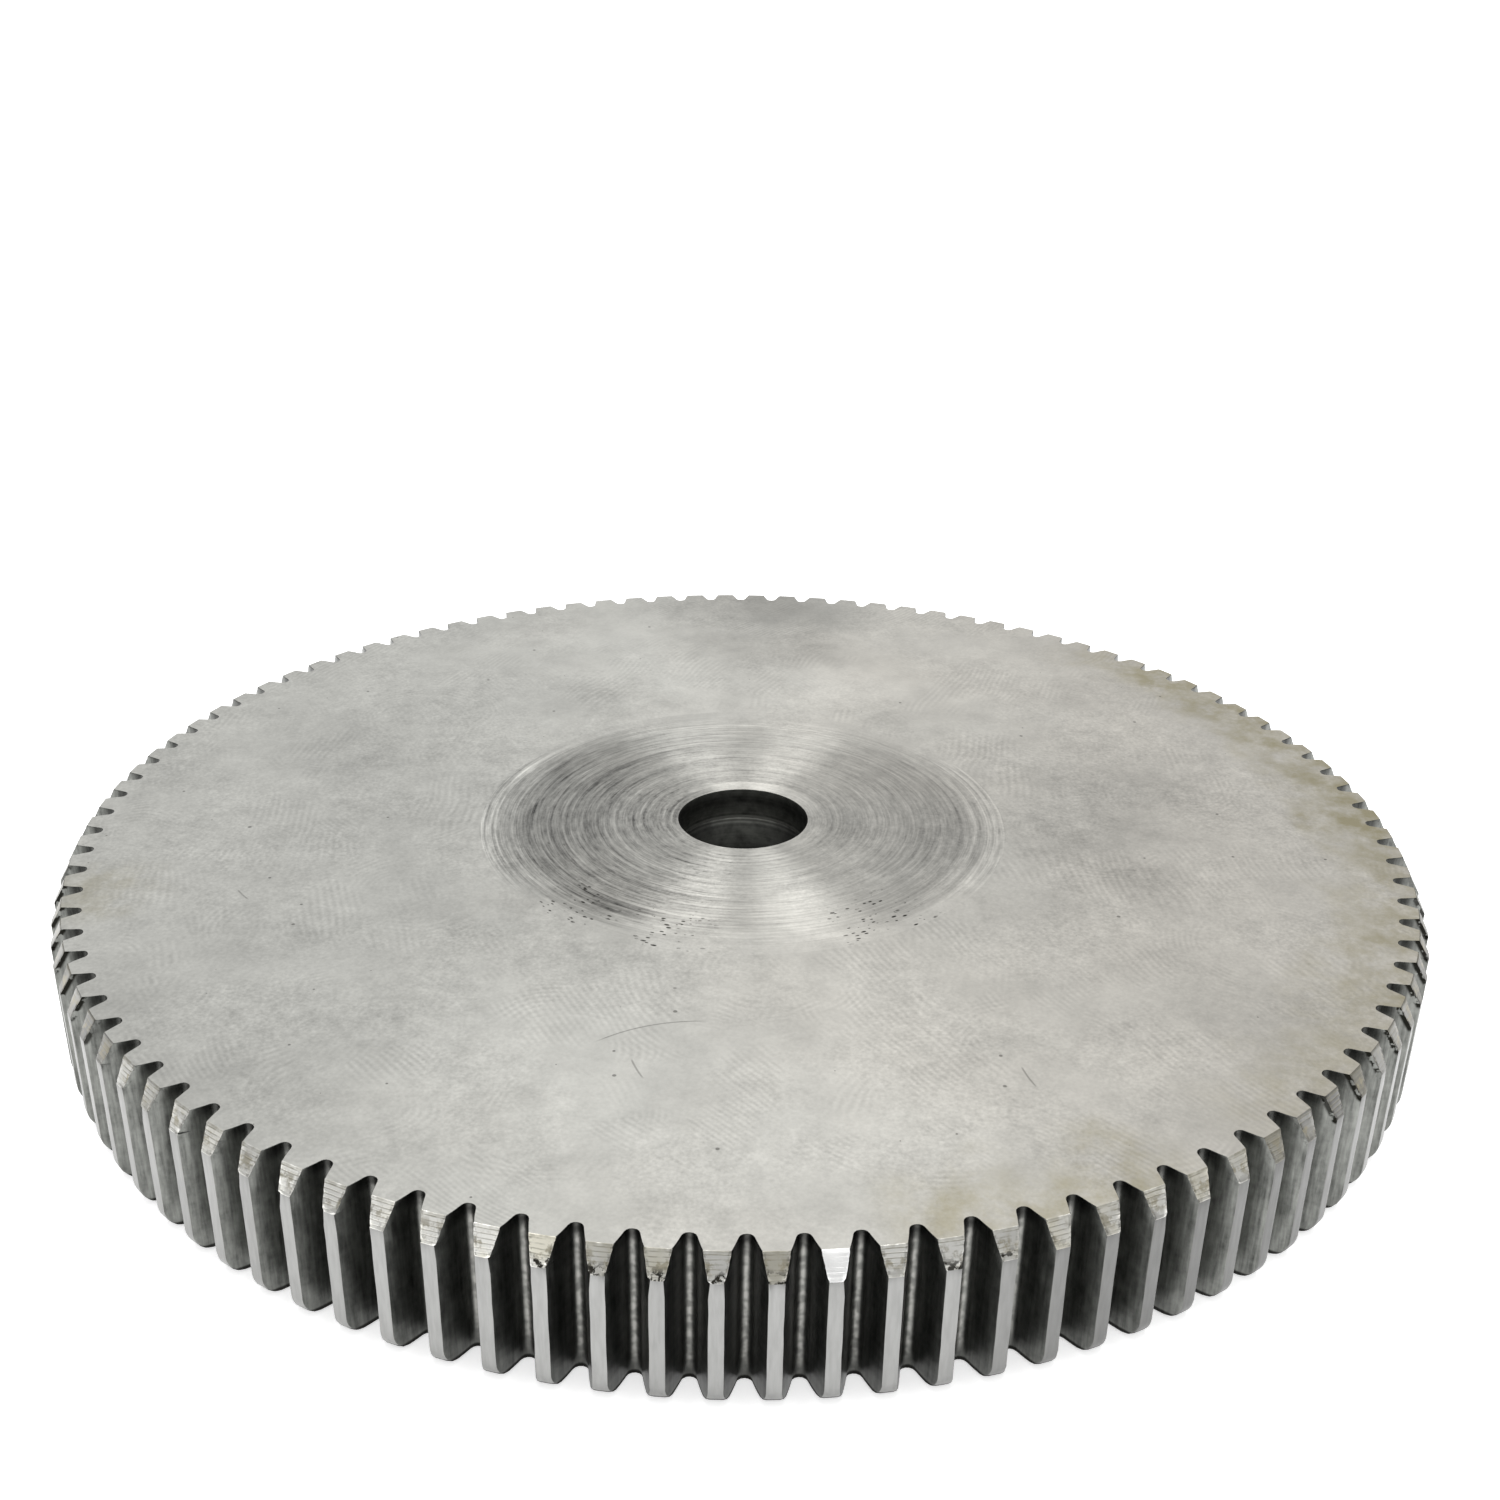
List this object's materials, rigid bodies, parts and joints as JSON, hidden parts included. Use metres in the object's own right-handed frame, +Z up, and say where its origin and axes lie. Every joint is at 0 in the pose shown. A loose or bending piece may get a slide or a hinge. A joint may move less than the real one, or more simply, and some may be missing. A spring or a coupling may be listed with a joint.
{
  "type": "spur gear",
  "caption": "Plain flat steel spur gear: straight involute teeth with chamfered tips round a solid disc with a plain central bore.",
  "frame": {"origin": "centre of the lower face, on the bore's axis", "axes": "+Z up along the bore's axis; a tooth stands on each of the +X, +Y, -X and -Y axes"},
  "size_m": [0.102, 0.102, 0.0105],
  "materials": {
    "ground_steel": "turned and ground bare steel, satin, with light staining"
  },
  "bodies": {
    "root": {"spur_gear": "ground_steel"}
  },
  "joints": []
}
